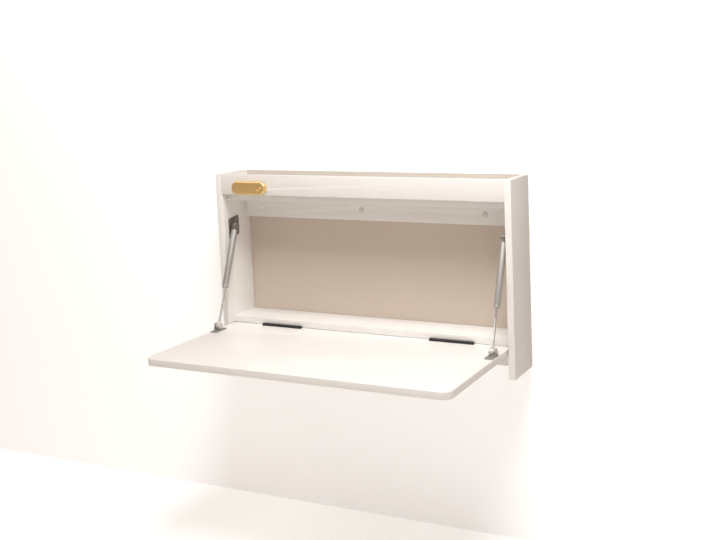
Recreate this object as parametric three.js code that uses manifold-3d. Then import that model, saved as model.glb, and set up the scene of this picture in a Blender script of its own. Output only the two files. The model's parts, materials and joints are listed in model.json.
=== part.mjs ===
// Wall-hung folding vanity table: a shallow open carcass whose front flap folds down into a table top.
// Millimetres. X runs to the right, Y into the wall, Z up.
// The origin is the middle of the hanging rail's back face, on the wall.
import * as THREE from 'three';
import { mergeVertices } from 'three/addons/utils/BufferGeometryUtils.js';
import Module from 'manifold-3d';

const wasm = await Module();
wasm.setup();

// Carcass
const overallWidth = 800;
const sideHeight = 456;
const sideDepth = 112;
const boardThickness = 16;
const fasciaHeight = 50;
const hangingRailHeight = 52;
const fasciaStep = 2; // the fascia starts this far above the tray's floor
const fitGap = 0.1; // slack round a fitting in its hole
const toolReach = 1; // a cutting tool goes this far past the face that it cuts

// Flap
const flapThickness = 16;
const flapLevel = 70; // table top above the lower ends of the sides
const flapSideGap = 2;
const flapEndGap = 2; // at the fascia and at the lower ends of the sides when closed
const flapReveal = 0.4; // closed flap behind the front edges
const flapCornerRadius = 22;
const seamGap = 1; // flap to bottom board

// Hinges
const hingeInset = 149; // centre of each hinge from the side's inner face
const hingeLength = 112;
const hingeLeafWidth = 30; // from the pin to the rear edge
const hingeLeafThickness = 1.5;
const hingeLeafGap = 0.3;
const hingeRise = 1.5; // pin above the table top
const knuckleRadius = 4.5;
const knuckleGap = 0.4;
const knuckleCount = 5;
const knuckleEndGap = 0.3;
const pinRadius = 2;
const pinSlack = 0.1;
const pinHeadRadius = 3.2;
const pinHeadThickness = 1.2;
const pinHeadEdge = 0.6;
const grooveSlack = 0.5; // round the knuckles in the flap
const hingeScrewNear = 13; // the outer screws' distance from the pin
const hingeScrewFar = 22;
const hingeScrewSpread = 34; // the outer screws to the middle one

// Gas struts
const strutInset = 14; // strut's middle plane from the side's inner face
const upperPivotBack = 30; // behind the sides' front edges
const upperPivotDrop = 66; // below the top board
const lowerPivotReach = 59; // in front of the sides' front edges
const lowerPivotHeight = 12; // above the table top
const tubeRadius = 7.5;
const tubeWall = 1;
const tubeTopWall = 3;
const tubeEdge = 1;
const tubeShoulder = 1.5;
const tubeRimRadius = 4.8;
const tubeRimThickness = 1.2;
const rodRadius = 3;
const rodSlack = 0.2;
const rodInTube = 18; // rod left in the tube when the strut is out
const pistonRadius = 6.1;
const pistonLength = 8;
const guideLength = 8;
const rodEndClearance = 13; // tube's end to the lower pivot when the strut is in
const ballRadius = 5;
const ballSlack = 0.3;
const socketWall = 1.8; // round the ball
const socketRadius = ballRadius + socketWall;
const socketClosedDepth = 7;
const socketOpenDepth = 3.5;
const socketRecessRadius = 4; // in the socket's closed face
const socketRecessDepth = 0.7;
const socketNeckRadius = 4.4;
const socketNeckLength = 11.4;
const stubRadius = 2; // threaded end of the tube or the rod in its socket
const stubLength = 4;
const studRadius = 2.6;
const studCollarRadius = 4.5;
const studCollarThickness = 2;
const turnedGap = 0.3; // between pieces inside a turned group

// Strut brackets
const plateThickness = 2;
const plateFront = 9; // upper plate's reach in front of the pivot
const plateRear = 31;
const plateRise = 17;
const plateDrop = 36;
const plateSlope = 6; // rise of the upper edge towards the rear
const plateTaper = 10; // rise of the lower edge towards the rear
const plateCornerRadius = 5;
const plateScrewPlaces = [[20, 12], [20, -16]]; // behind the pivot and above it
const footFront = 25; // foot plate's reach in front of the pivot
const footRear = 18;
const footWidth = 21;
const footScrewFront = 17;
const footScrewRear = 11;
const earWidth = 16;
const earTopWidth = 10;
const earCrown = 6; // ear above the pivot
const earCornerRadius = 3;
const earOffset = 8; // ear's inner face to the strut's middle plane
const rivetRadius = 4;
const rivetThickness = 1.5;

// Turn button on the fascia
const buttonLength = 101;
const buttonHeight = 34;
const buttonThickness = 8;
const buttonRound = 5; // rounding of its front edge
const buttonInset = 121; // pivot from the left side's inner face
const buttonRise = 17.5; // pivot above the fascia's lower edge
const buttonHoleRadius = 3;
const buttonCounterboreRadius = 6;
const buttonCounterboreDepth = 2.6;
const buttonScrewHeadThickness = 2;
const buttonScrewEdge = 1;
const buttonScrewDepth = 12; // in the fascia
const washerThickness = 1.2;
const washerRadius = 7;

// Fixings
const screwRadius = 1.9;
const screwHeadRadius = 3.6;
const screwHeadHeight = 1.2;
const screwLength = 12;
const fixingHoleRadius = 4;
const fixingInsetLeft = 51; // outer wall fixings from the sides' inner faces
const fixingInsetRight = 87;
const fixingMiddleX = -36;
const lowerFixingInset = 134;
const capRadius = 6.5;
const capThickness = 2.4;
const capEdge = 1.4;
const capStemLength = 6;
const stopPinRadius = 3;
const stopPinReach = 8;
const stopPinDepth = 8;

// Levels and planes
const halfWidth = overallWidth / 2;
const innerHalf = halfWidth - boardThickness;
const hingeOffset = innerHalf - hingeInset;
const buttonPivotX = -innerHalf + buttonInset;
const fixingHoleX = [-innerHalf + fixingInsetLeft, fixingMiddleX, innerHalf - fixingInsetRight];
const lowerFixingX = [-innerHalf + lowerFixingInset, innerHalf - lowerFixingInset];
const frontY = -sideDepth;
const topBoardUnder = hangingRailHeight / 2;
const topBoardTop = topBoardUnder + boardThickness;
const fasciaUnder = topBoardTop + fasciaStep;
const sideTop = fasciaUnder + fasciaHeight;
const sideFoot = sideTop - sideHeight;
const flapTop = sideFoot + flapLevel;
const bottomBoardUnder = flapTop + seamGap;
const bottomBoardTop = bottomBoardUnder + boardThickness;
const hingeY = frontY + flapReveal + flapThickness + hingeRise;
const hingeZ = flapTop + hingeRise;
const boardFront = hingeY + knuckleRadius + knuckleGap;
const flapFront = hingeY - (fasciaUnder - flapEndGap - hingeZ);
const flapRear = hingeY + (hingeZ - sideFoot - flapEndGap);
const flapHalf = innerHalf - flapSideGap;
const seamMiddle = flapTop + seamGap / 2;
const fixedLeafUnder = seamMiddle + hingeLeafGap / 2;
const movingLeafTop = seamMiddle - hingeLeafGap / 2;
const closedFaceY = hingeY - hingeRise;

// Strut: open and closed lengths from its two pivots
const strutX = innerHalf - strutInset;
const upperPivotY = frontY + upperPivotBack;
const upperPivotZ = topBoardUnder - upperPivotDrop;
const lowerPivotY = frontY - lowerPivotReach;
const lowerPivotZ = flapTop + lowerPivotHeight;
const strutOpenLength = Math.hypot(lowerPivotY - upperPivotY, lowerPivotZ - upperPivotZ);
const strutTilt = Math.atan2(upperPivotY - lowerPivotY, upperPivotZ - lowerPivotZ);
const closedPivotY = hingeY + (lowerPivotZ - hingeZ);
const closedPivotZ = hingeZ + (hingeY - lowerPivotY);
const strutClosedLength = Math.hypot(closedPivotY - upperPivotY, closedPivotZ - upperPivotZ);
const tubeEnd = strutClosedLength - rodEndClearance;

// Materials
function finish(color, roughness, metalness) {
  return new THREE.MeshStandardMaterial({ color, roughness, metalness });
}
const whiteBoard = () => finish(0xf2ece2, 0.45, 0);
const blackSteel = () => finish(0x16161a, 0.45, 0.7);
const greySteel = () => finish(0x77787c, 0.4, 0.8);
const satinSteel = () => finish(0xb0b1b4, 0.35, 0.9);
const satinSilver = () => finish(0xb9b8b5, 0.35, 0.9);
const polishedRod = () => finish(0xd8dade, 0.15, 1);
const blackPlastic = () => finish(0x1b1b1d, 0.5, 0);
const greyPlastic = () => finish(0x8d8880, 0.5, 0);
const whitePlastic = () => finish(0xf7f5f0, 0.4, 0);
const bareBrass = () => finish(0xbe9a52, 0.35, 0.9);

// Solids from three.js geometry
function withoutSlivers(geometry) {
  const source = geometry.index.array;
  const kept = [];
  for (let i = 0; i < source.length; i += 3) {
    const [a, b, c] = [source[i], source[i + 1], source[i + 2]];
    if (a !== b && b !== c && c !== a) {
      kept.push(a, b, c);
    }
  }
  geometry.setIndex(kept);
  return geometry;
}

function welded(geometry) {
  const bare = geometry.clone();
  bare.deleteAttribute('normal');
  bare.deleteAttribute('uv');
  return withoutSlivers(mergeVertices(bare));
}

function toSolid(geometry) {
  const source = welded(geometry);
  return new wasm.Manifold(new wasm.Mesh({
    numProp: 3,
    vertProperties: new Float32Array(source.attributes.position.array),
    triVerts: new Uint32Array(source.index.array),
  }));
}

function toGeometry(solid) {
  const mesh = solid.getMesh();
  const geometry = new THREE.BufferGeometry();
  geometry.setAttribute('position', new THREE.BufferAttribute(new Float32Array(mesh.vertProperties), 3));
  geometry.setIndex(new THREE.BufferAttribute(new Uint32Array(mesh.triVerts), 1));
  geometry.computeVertexNormals();
  return geometry;
}

function cut(geometry, tools) {
  let solid = toSolid(geometry);
  for (const tool of tools) {
    solid = solid.subtract(toSolid(tool));
  }
  return toGeometry(solid);
}

function joined(geometries) {
  let solid = toSolid(geometries[0]);
  for (const geometry of geometries.slice(1)) {
    solid = solid.add(toSolid(geometry));
  }
  return toGeometry(solid);
}

// Forms given by their limits or their axis, in the object's own frame
function block(x, y, z) {
  const geometry = new THREE.BoxGeometry(x[1] - x[0], y[1] - y[0], z[1] - z[0]);
  return geometry.translate((x[0] + x[1]) / 2, (y[0] + y[1]) / 2, (z[0] + z[1]) / 2);
}

function turned(profile, segments) {
  const points = profile.map(([radius, height]) => new THREE.Vector2(radius, height));
  return new THREE.LatheGeometry(points, segments);
}

const spinAxes = {
  up: (geometry) => geometry.rotateX(Math.PI / 2),
  down: (geometry) => geometry.rotateX(-Math.PI / 2),
  right: (geometry) => geometry.rotateZ(-Math.PI / 2),
  left: (geometry) => geometry.rotateZ(Math.PI / 2),
  back: (geometry) => geometry,
  front: (geometry) => geometry.rotateX(Math.PI),
};

// A turned form whose profile starts at the place given and rises in the direction named
function turnedAt(place, direction, profile, segments) {
  return spinAxes[direction](turned(profile, segments)).translate(...place);
}

function rodAt(place, direction, radius, length, segments) {
  return turnedAt(place, direction, [[0, 0], [radius, 0], [radius, length], [0, length]], segments);
}

function outward(side) {
  return side > 0 ? 'right' : 'left';
}

function inward(side) {
  return side > 0 ? 'left' : 'right';
}

const fineSegments = 24;
const plainSegments = 16;
const smallSegments = 10;
const ballSteps = 7;
const cavityRings = 10;
const cornerSteps = 4;
const longCornerSteps = 8;
const roundSteps = 3;

// Countersunk screw, its head's face at the place given and its point in the direction named
function screwProfile(slack, length) {
  const head = screwHeadRadius + slack;
  const shank = screwRadius + slack;
  return [[0, 0], [head, 0], [shank, screwHeadHeight + slack], [shank, length - shank], [0, length]];
}

function screw(place, direction) {
  return turnedAt(place, direction, screwProfile(0, screwLength), smallSegments);
}

function screwHole(place, direction) {
  return turnedAt(place, direction, screwProfile(2 * fitGap, screwLength + fitGap), smallSegments);
}

// Upper strut plate: its outline in Y and Z round the pivot
function plateOutline() {
  const corners = [
    [-plateFront, plateRise],
    [-plateFront, -plateDrop],
    [plateRear, -plateDrop + plateTaper],
    [plateRear, plateRise + plateSlope],
  ];
  return roundedOutline(corners, plateCornerRadius);
}

// Closed outline through the corners, each rounded by a curve
function roundedOutline(corners, radius) {
  const shape = new THREE.Shape();
  const count = corners.length;
  corners.forEach((corner, i) => {
    const here = new THREE.Vector2(...corner);
    const before = new THREE.Vector2(...corners[(i + count - 1) % count]);
    const after = new THREE.Vector2(...corners[(i + 1) % count]);
    const from = here.clone().add(before.sub(here).setLength(radius));
    const to = here.clone().add(after.sub(here).setLength(radius));
    if (i === 0) {
      shape.moveTo(from.x, from.y);
    } else {
      shape.lineTo(from.x, from.y);
    }
    shape.quadraticCurveTo(here.x, here.y, to.x, to.y);
  });
  shape.closePath();
  return shape;
}

// A flat outline given in Y and Z, thick along X, its lower X face at x
function slabAlongX(shape, x, thickness, steps) {
  const sheet = { depth: thickness, bevelEnabled: false, curveSegments: steps };
  const geometry = new THREE.ExtrudeGeometry(shape, sheet);
  geometry.rotateX(Math.PI / 2);
  geometry.rotateZ(Math.PI / 2);
  return geometry.translate(x, 0, 0);
}

function plateScrewAt(side, [back, up]) {
  return [side * (innerHalf - plateThickness), upperPivotY + back, upperPivotZ + up];
}

// Carcass boards between the sides
function topBoard() {
  return block([-innerHalf, innerHalf], [boardFront, 0], [topBoardUnder, topBoardTop]);
}

function bottomBoard() {
  const plain = block([-innerHalf, innerHalf], [boardFront, 0], [bottomBoardUnder, bottomBoardTop]);
  return cut(plain, fixedLeafRecesses());
}

function fascia() {
  const plain = block([-innerHalf, innerHalf], [frontY, frontY + boardThickness], [fasciaUnder, sideTop]);
  return cut(plain, [buttonScrewHole()]);
}

function hangingRail() {
  const z = [-hangingRailHeight / 2, topBoardUnder];
  const plain = block([-innerHalf, innerHalf], [-boardThickness, 0], z);
  return cut(plain, fixingHoleX.map((x) => fixingHole(x, 0)));
}

function lowerRail() {
  const plain = block([-innerHalf, innerHalf], [-boardThickness, 0], [sideFoot, bottomBoardUnder]);
  const middle = (sideFoot + bottomBoardUnder) / 2;
  return cut(plain, lowerFixingX.map((x) => fixingHole(x, middle)));
}

function fixingHole(x, z) {
  const depth = boardThickness + 2 * toolReach;
  return rodAt([x, -boardThickness - toolReach, z], 'back', fixingHoleRadius, depth, plainSegments);
}

function sidePanel(side) {
  const x = [side * innerHalf, side * halfWidth].sort((a, b) => a - b);
  const screws = plateScrewPlaces.map((place) => screwHole(plateScrewAt(side, place), outward(side)));
  const pinLength = stopPinReach + stopPinDepth + fitGap;
  const pin = rodAt(stopPinPlace(side), outward(side), stopPinRadius + 2 * fitGap, pinLength, smallSegments);
  return cut(block(x, [frontY, 0], [sideFoot, sideTop]), [...screws, pin]);
}

// Stop pins: the closed flap's inner face rests on them
function stopPinPlace(side) {
  const y = closedFaceY + turnedGap + stopPinRadius;
  return [side * (innerHalf - stopPinReach), y, topBoardUnder + stopPinRadius];
}

function stopPin(side) {
  const length = stopPinReach + stopPinDepth;
  return rodAt(stopPinPlace(side), outward(side), stopPinRadius, length, smallSegments);
}

// Flap: two rounded front corners, a groove for each hinge's knuckles and a recess for its leaf
function flapOutline() {
  const shape = new THREE.Shape();
  const r = flapCornerRadius;
  shape.moveTo(-flapHalf, flapRear);
  shape.lineTo(-flapHalf, flapFront + r);
  shape.absarc(-flapHalf + r, flapFront + r, r, Math.PI, 1.5 * Math.PI, false);
  shape.lineTo(flapHalf - r, flapFront);
  shape.absarc(flapHalf - r, flapFront + r, r, 1.5 * Math.PI, 2 * Math.PI, false);
  shape.lineTo(flapHalf, flapRear);
  shape.closePath();
  return shape;
}

function hingeX(side) {
  const middle = side * hingeOffset;
  return [middle - hingeLength / 2, middle + hingeLength / 2];
}

function widened(range, by) {
  return [range[0] - by, range[1] + by];
}

function knuckleGroove(side) {
  const reach = knuckleRadius + grooveSlack;
  const x = widened(hingeX(side), pinHeadThickness + grooveSlack);
  return block(x, [hingeY - reach, hingeY + reach], [hingeZ - reach, flapTop + toolReach]);
}

function movingLeafRecess(side) {
  const x = widened(hingeX(side), 2 * fitGap);
  const floor = movingLeafTop - hingeLeafThickness - fitGap / 2;
  return block(x, [hingeY, hingeY + hingeLeafWidth + 2 * fitGap], [floor, flapTop + toolReach]);
}

function fixedLeafRecesses() {
  return [-1, 1].flatMap((side) => {
    const x = widened(hingeX(side), 2 * fitGap);
    const roof = fixedLeafUnder + hingeLeafThickness + fitGap / 2;
    const y = [boardFront - toolReach, hingeY + hingeLeafWidth + 2 * fitGap];
    const recess = block(x, y, [bottomBoardUnder - toolReach, roof]);
    return [recess, ...hingeScrewPlaces(side).map(([x0, y0]) => screwHole([x0, y0, fixedLeafUnder], 'up'))];
  });
}

function flapBoard() {
  const outline = flapOutline();
  const board = { depth: flapThickness, bevelEnabled: false, curveSegments: longCornerSteps };
  const plain = new THREE.ExtrudeGeometry(outline, board);
  plain.translate(0, 0, flapTop - flapThickness);
  const tools = [-1, 1].flatMap((side) => [
    knuckleGroove(side),
    movingLeafRecess(side),
    ...hingeScrewPlaces(side).map(([x, y]) => screwHole([x, y, movingLeafTop], 'down')),
    ...footScrewPlaces(side).map(([x, y]) => screwHole([x, y, flapTop + plateThickness], 'down')),
  ]);
  return cut(plain, tools);
}

// Hinges: knuckles along the pin, each with the leaf that it belongs to
function hingeScrewPlaces(side) {
  const x = side * hingeOffset;
  const near = hingeY + hingeScrewNear;
  return [[x - hingeScrewSpread, near], [x, hingeY + hingeScrewFar], [x + hingeScrewSpread, near]];
}

function knuckleSpans(side) {
  const [start, end] = hingeX(side);
  const length = (end - start - (knuckleCount - 1) * knuckleEndGap) / knuckleCount;
  return Array.from({ length: knuckleCount }, (_, i) => {
    const from = start + i * (length + knuckleEndGap);
    return [from, from + length];
  });
}

function knuckle(span) {
  const bore = pinRadius + pinSlack;
  const length = span[1] - span[0];
  const ring = [[bore, 0], [knuckleRadius, 0], [knuckleRadius, length], [bore, length], [bore, 0]];
  return turnedAt([span[0], hingeY, hingeZ], 'right', ring, fineSegments);
}

function hingeLeaf(side, ownParity, z, headFace, direction) {
  const spans = knuckleSpans(side);
  const own = spans.filter((_, i) => i % 2 === ownParity);
  const clear = hingeY + knuckleRadius + knuckleGap;
  const plate = block(hingeX(side), [clear, hingeY + hingeLeafWidth], z);
  const tabReach = [hingeY + knuckleRadius - toolReach, clear + toolReach];
  const tabs = own.map((span) => block(span, tabReach, z));
  const whole = joined([plate, ...tabs, ...own.map(knuckle)]);
  return cut(whole, hingeScrewPlaces(side).map(([x, y]) => screwHole([x, y, headFace], direction)));
}

function fixedHingeLeaf(side) {
  return hingeLeaf(side, 0, [fixedLeafUnder, fixedLeafUnder + hingeLeafThickness], fixedLeafUnder, 'up');
}

function movingHingeLeaf(side) {
  return hingeLeaf(side, 1, [movingLeafTop - hingeLeafThickness, movingLeafTop], movingLeafTop, 'down');
}

function hingePin(side) {
  const length = hingeLength + 2 * pinHeadThickness + 2 * fitGap;
  const start = hingeX(side)[0] - pinHeadThickness - fitGap;
  const profile = [
    [0, 0],
    [pinHeadRadius - pinHeadEdge, 0],
    [pinHeadRadius, pinHeadEdge],
    [pinHeadRadius, pinHeadThickness],
    [pinRadius, pinHeadThickness],
    [pinRadius, length - pinHeadThickness],
    [pinHeadRadius, length - pinHeadThickness],
    [pinHeadRadius, length - pinHeadEdge],
    [pinHeadRadius - pinHeadEdge, length],
    [0, length],
  ];
  return turnedAt([start, hingeY, hingeZ], 'right', profile, plainSegments);
}

// Caps over the wall fixing holes
function fixingCap(x) {
  const start = [x, -boardThickness - capThickness, 0];
  const profile = [
    [0, 0],
    [capRadius - capEdge, 0],
    [capRadius, capEdge],
    [capRadius, capThickness],
    [fixingHoleRadius - 2 * fitGap, capThickness],
    [fixingHoleRadius - 2 * fitGap, capThickness + capStemLength],
    [0, capThickness + capStemLength],
  ];
  return turnedAt(start, 'back', profile, plainSegments);
}

// Strut brackets and ball studs
function upperPlate(side) {
  const x = side > 0 ? innerHalf - plateThickness : -innerHalf;
  const plain = slabAlongX(plateOutline(), x, plateThickness, cornerSteps);
  plain.translate(0, upperPivotY, upperPivotZ);
  return cut(plain, plateScrewPlaces.map((place) => screwHole(plateScrewAt(side, place), outward(side))));
}

// Ball stud: collar, neck and ball, its seat at height 0 and the ball's middle at the reach
function collarAndBall(reach) {
  const profile = [
    [studCollarRadius, turnedGap],
    [studCollarRadius, turnedGap + studCollarThickness],
    [studRadius, turnedGap + studCollarThickness],
  ];
  const neckAngle = Math.asin(studRadius / ballRadius);
  for (let i = 0; i < ballSteps; i += 1) {
    const angle = neckAngle + (Math.PI - neckAngle) * (i / ballSteps);
    profile.push([ballRadius * Math.sin(angle), reach - ballRadius * Math.cos(angle)]);
  }
  return [...profile, [0, reach + ballRadius]];
}

function upperStud(side) {
  const reach = strutInset - plateThickness;
  const profile = [[0, turnedGap], ...collarAndBall(reach)];
  return turnedAt([side * reach, 0, 0], inward(side), profile, plainSegments);
}

// The lower stud's shank goes through the foot's ear and is riveted over behind it
function lowerStud(side) {
  const seat = -plateThickness - turnedGap;
  const profile = [
    [0, seat - rivetThickness],
    [rivetRadius, seat - rivetThickness],
    [rivetRadius, seat],
    [studRadius, seat],
    [studRadius, turnedGap],
    ...collarAndBall(earOffset),
  ];
  return turnedAt([side * earOffset, 0, 0], inward(side), profile, plainSegments);
}

const earFace = strutX + earOffset;
const footX = [earFace + plateThickness - footWidth, earFace + plateThickness];

function footScrewPlaces(side) {
  const x = side * (earFace + footX[0]) / 2;
  return [[x, lowerPivotY - footScrewFront], [x, lowerPivotY + footScrewRear]];
}

function footBracket(side) {
  const baseCorners = [
    [footX[0], lowerPivotY - footFront],
    [footX[1], lowerPivotY - footFront],
    [footX[1], lowerPivotY + footRear],
    [footX[0], lowerPivotY + footRear],
  ];
  const outline = roundedOutline(baseCorners, plateCornerRadius);
  const sheet = { depth: plateThickness, bevelEnabled: false, curveSegments: cornerSteps };
  const base = new THREE.ExtrudeGeometry(outline, sheet).translate(0, 0, flapTop);
  const earCorners = [
    [-earWidth / 2, -lowerPivotHeight],
    [earWidth / 2, -lowerPivotHeight],
    [earTopWidth / 2, earCrown],
    [-earTopWidth / 2, earCrown],
  ];
  const earShape = roundedOutline(earCorners, earCornerRadius);
  const ear = slabAlongX(earShape, earFace, plateThickness, cornerSteps);
  ear.translate(0, lowerPivotY, lowerPivotZ);
  const bracket = joined([base, ear]);
  if (side < 0) {
    mirrorX(bracket);
  }
  const eyeStart = [side * (earFace - toolReach), lowerPivotY, lowerPivotZ];
  const eyeLength = plateThickness + 2 * toolReach;
  const eye = rodAt(eyeStart, outward(side), studRadius + turnedGap, eyeLength, plainSegments);
  const screws = footScrewPlaces(side).map(([x, y]) => screwHole([x, y, flapTop + plateThickness], 'down'));
  return cut(bracket, [eye, ...screws]);
}

// Mirror left to right, with the faces turned round again
function mirrorX(geometry) {
  geometry.scale(-1, 1, 1);
  const index = geometry.index.array;
  for (let i = 0; i < index.length; i += 3) {
    [index[i], index[i + 1]] = [index[i + 1], index[i]];
  }
  geometry.computeVertexNormals();
  return geometry;
}

// Ball socket round the origin, its neck along -Z or +Z, its mouth to the side given
function ballSocket(mouthSide, neck) {
  const length = socketClosedDepth + socketOpenDepth;
  const start = [-mouthSide * socketClosedDepth, 0, 0];
  const shell = rodAt(start, outward(mouthSide), socketRadius, length, fineSegments);
  const neckStart = ballRadius + socketWall / 2;
  const along = neck > 0 ? 'up' : 'down';
  const neckLength = socketNeckLength - neckStart;
  const stem = rodAt([0, 0, neck * neckStart], along, socketNeckRadius, neckLength, plainSegments);
  const threadStart = socketNeckLength - stubLength - turnedGap;
  const threadRadius = stubRadius + turnedGap;
  const threadLength = stubLength + toolReach;
  const thread = rodAt([0, 0, neck * threadStart], along, threadRadius, threadLength, smallSegments);
  const recessStart = [-mouthSide * (socketClosedDepth + toolReach), 0, 0];
  const recessLength = socketRecessDepth + toolReach;
  const recess = rodAt(recessStart, outward(mouthSide), socketRecessRadius, recessLength, fineSegments);
  const cavity = new THREE.SphereGeometry(ballRadius + ballSlack, plainSegments, cavityRings);
  cavity.rotateZ(Math.PI / 2);
  return cut(joined([shell, stem]), [cavity, thread, recess]);
}

// Strut pieces, drawn with the upper pivot at the origin and the strut hanging along -Z
function strutTube() {
  const top = -socketNeckLength - turnedGap;
  const profile = [
    [tubeRimRadius, -tubeEnd],
    [tubeRadius - tubeEdge, -tubeEnd],
    [tubeRadius, -tubeEnd + tubeEdge],
    [tubeRadius, top - tubeShoulder],
    [tubeRadius - tubeShoulder, top],
    [stubRadius, top],
    [stubRadius, top + stubLength],
    [0, top + stubLength],
  ];
  const bore = [
    [0, top - tubeTopWall],
    [tubeRadius - tubeWall, top - tubeTopWall],
    [tubeRadius - tubeWall, -tubeEnd + tubeRimThickness],
    [tubeRimRadius, -tubeEnd + tubeRimThickness],
    [tubeRimRadius, -tubeEnd],
  ];
  return turned([...profile, ...bore], fineSegments).rotateX(Math.PI / 2);
}

function rodGuide() {
  const low = -tubeEnd + tubeRimThickness + turnedGap;
  const inner = rodRadius + rodSlack;
  const outer = tubeRadius - tubeWall - fitGap;
  const high = low + guideLength;
  const ring = [[inner, low], [outer, low], [outer, high], [inner, high], [inner, low]];
  return turned(ring, fineSegments).rotateX(Math.PI / 2);
}

function strutRod() {
  const low = -strutOpenLength + socketNeckLength + turnedGap;
  const high = -tubeEnd + rodInTube;
  const profile = [
    [0, low - stubLength],
    [stubRadius, low - stubLength],
    [stubRadius, low],
    [rodRadius, low],
    [rodRadius, high - pistonLength],
    [pistonRadius, high - pistonLength],
    [pistonRadius, high],
    [0, high],
  ];
  return turned(profile, plainSegments).rotateX(Math.PI / 2);
}

// Turn button: a bar with round ends and a counterbored pivot hole near its right end
function buttonBar() {
  const r = buttonHeight / 2 - buttonRound;
  const left = -(buttonLength - buttonHeight);
  const shape = new THREE.Shape();
  shape.moveTo(0, -r);
  shape.absarc(0, 0, r, -Math.PI / 2, Math.PI / 2, false);
  shape.lineTo(left, r);
  shape.absarc(left, 0, r, Math.PI / 2, 1.5 * Math.PI, false);
  shape.closePath();
  const bar = new THREE.ExtrudeGeometry(shape, {
    depth: buttonThickness - buttonRound,
    bevelEnabled: true,
    bevelThickness: buttonRound,
    bevelSize: buttonRound,
    bevelSegments: roundSteps,
    curveSegments: longCornerSteps,
  });
  const behind = block([-buttonLength, buttonHeight], [-buttonHeight, buttonHeight], [-2 * buttonRound, 0]);
  const holeLength = buttonThickness + 2 * toolReach;
  const hole = rodAt([0, 0, -toolReach], 'up', buttonHoleRadius, holeLength, plainSegments);
  const seatLevel = buttonThickness - buttonCounterboreDepth;
  const seat = rodAt([0, 0, seatLevel], 'up', buttonCounterboreRadius, buttonThickness, fineSegments);
  return cut(bar, [behind, hole, seat]);
}

const buttonBack = frontY - washerThickness - turnedGap;
const buttonZ = fasciaUnder + buttonRise;

function buttonScrewHole() {
  const depth = buttonScrewDepth + toolReach + fitGap;
  const start = [buttonPivotX, frontY - toolReach, buttonZ];
  return rodAt(start, 'back', screwRadius + 2 * fitGap, depth, smallSegments);
}

function buttonScrew() {
  const seat = buttonThickness - buttonCounterboreDepth + turnedGap;
  const headThickness = buttonScrewHeadThickness;
  const headRadius = buttonCounterboreRadius - buttonScrewEdge;
  const front = buttonBack - seat - headThickness;
  const shankEnd = frontY + buttonScrewDepth - front;
  const profile = [
    [0, 0],
    [headRadius - buttonScrewEdge, 0],
    [headRadius, buttonScrewEdge],
    [headRadius, headThickness],
    [screwRadius, headThickness],
    [screwRadius, shankEnd - screwRadius],
    [0, shankEnd],
  ];
  return turnedAt([buttonPivotX, front, buttonZ], 'back', profile, plainSegments);
}

function buttonWasher() {
  const inner = screwRadius + 2 * fitGap;
  const thick = washerThickness;
  const ring = [[inner, 0], [washerRadius, 0], [washerRadius, thick], [inner, thick], [inner, 0]];
  return turnedAt([buttonPivotX, frontY - thick, buttonZ], 'back', ring, plainSegments);
}

// Assembly
function addPart(parent, name, geometry, material) {
  const mesh = new THREE.Mesh(geometry, material);
  mesh.name = name;
  parent.add(mesh);
  return mesh;
}

function addCarcass(parent) {
  addPart(parent, 'side_panel_left', sidePanel(-1), whiteBoard());
  addPart(parent, 'side_panel_right', sidePanel(1), whiteBoard());
  addPart(parent, 'top_board', topBoard(), whiteBoard());
  addPart(parent, 'bottom_board', bottomBoard(), whiteBoard());
  addPart(parent, 'fascia', fascia(), whiteBoard());
  addPart(parent, 'hanging_rail', hangingRail(), whiteBoard());
  addPart(parent, 'lower_rail', lowerRail(), whiteBoard());
  addPart(parent, 'fixing_cap_left', fixingCap(fixingHoleX[0]), whitePlastic());
  addPart(parent, 'fixing_cap_middle', fixingCap(fixingHoleX[1]), greyPlastic());
  addPart(parent, 'fixing_cap_right', fixingCap(fixingHoleX[2]), greyPlastic());
}

function addScrews(parent, stem, places, direction, material) {
  places.forEach((place, i) => {
    addPart(parent, `${stem}_${i + 1}`, screw(place, direction), material());
  });
}

function addHinge(parent, side, label) {
  const places = hingeScrewPlaces(side);
  const upper = places.map(([x, y]) => [x, y, fixedLeafUnder]);
  const lower = places.map(([x, y]) => [x, y, movingLeafTop]);
  addPart(parent, `hinge_leaf_fixed_${label}`, fixedHingeLeaf(side), blackSteel());
  addPart(parent, `hinge_leaf_moving_${label}`, movingHingeLeaf(side), blackSteel());
  addPart(parent, `hinge_pin_${label}`, hingePin(side), blackSteel());
  addScrews(parent, `hinge_screw_fixed_${label}`, upper, 'up', blackSteel);
  addScrews(parent, `hinge_screw_moving_${label}`, lower, 'down', blackSteel);
}

function addStrutBrackets(parent, side, label) {
  const footPlaces = footScrewPlaces(side).map(([x, y]) => [x, y, flapTop + plateThickness]);
  const platePlaces = plateScrewPlaces.map((place) => plateScrewAt(side, place));
  addPart(parent, `upper_plate_${label}`, upperPlate(side), greySteel());
  addScrews(parent, `upper_plate_screw_${label}`, platePlaces, outward(side), greySteel);
  addPart(parent, `foot_bracket_${label}`, footBracket(side), greySteel());
  addScrews(parent, `foot_screw_${label}`, footPlaces, 'down', greySteel);
  addPart(parent, `stop_pin_${label}`, stopPin(side), whitePlastic());
}

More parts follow.
